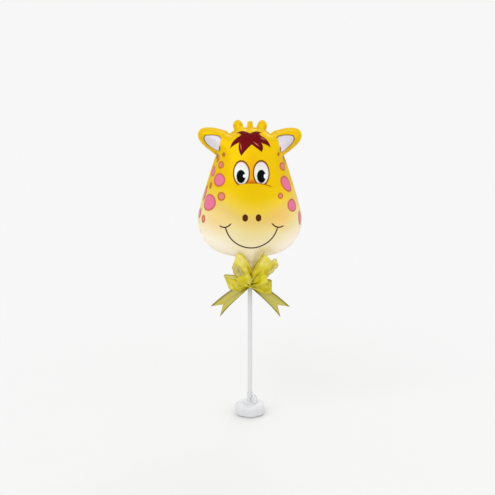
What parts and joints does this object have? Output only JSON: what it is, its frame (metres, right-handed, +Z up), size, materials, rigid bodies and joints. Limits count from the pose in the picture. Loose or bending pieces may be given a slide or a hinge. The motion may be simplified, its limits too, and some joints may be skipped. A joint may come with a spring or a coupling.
{
  "type": "standing foil balloon",
  "caption": "Giraffe head foil balloon on a straight plastic stick with an organza gift bow, standing in a small lobed foot with a filler plug.",
  "frame": {"origin": "middle of the foot's flat underside, on the stick's line", "axes": "+Z up along the stick, the giraffe's face and the bow look towards -Y, +X is to the right of someone who faces it"},
  "size_m": [0.241, 0.145, 0.6914],
  "materials": {
    "white_plastic": "semi-gloss moulded plastic",
    "printed_foil": "satin printed foil",
    "organza": "sheer woven ribbon"
  },
  "bodies": {
    "root": {"base": "white_plastic", "filler_plug": "white_plastic", "stick": "white_plastic", "balloon": "printed_foil", "gift_bow": "organza"}
  },
  "joints": []
}
